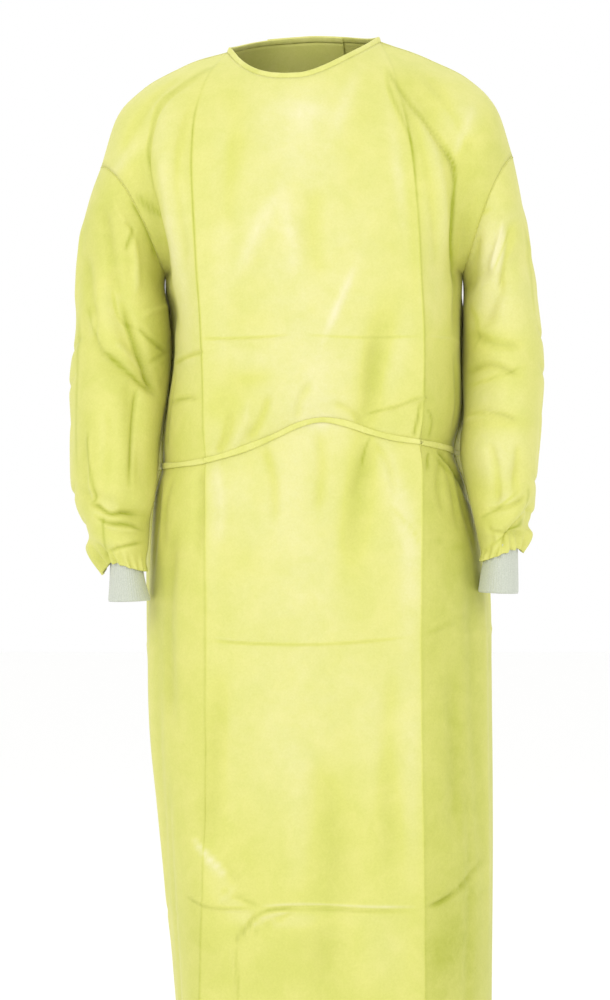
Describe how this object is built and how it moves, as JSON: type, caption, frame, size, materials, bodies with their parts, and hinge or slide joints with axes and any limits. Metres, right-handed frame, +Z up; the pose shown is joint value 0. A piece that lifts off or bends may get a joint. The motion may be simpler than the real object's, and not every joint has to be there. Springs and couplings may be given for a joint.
{
  "type": "disposable gown",
  "caption": "Long-sleeved nonwoven protective gown, worn and hollow, with knitted cuffs, a bound neck, a narrow waist tie and a lapped back opening.",
  "frame": {"origin": "middle of the neck opening, level with the tops of the wearer's shoulders, which hold the gown up", "axes": "+Z up, -Y the wearer's front, +X the wearer's left"},
  "size_m": [0.5644, 0.3025, 1.3307],
  "materials": {
    "lime": "matt spunbond nonwoven, slightly translucent",
    "knit": "rib-knitted polyester, matt"
  },
  "bodies": {
    "root": {"front_panel": "lime", "back_right": "lime", "back_left": "lime", "sleeve_right": "lime", "sleeve_left": "lime", "neck_binding": "lime", "belt": "lime", "belt_knot": "lime", "belt_end_right": "lime", "belt_end_left": "lime", "neck_tab": "lime", "cuff_right": "knit", "cuff_left": "knit"}
  },
  "joints": []
}
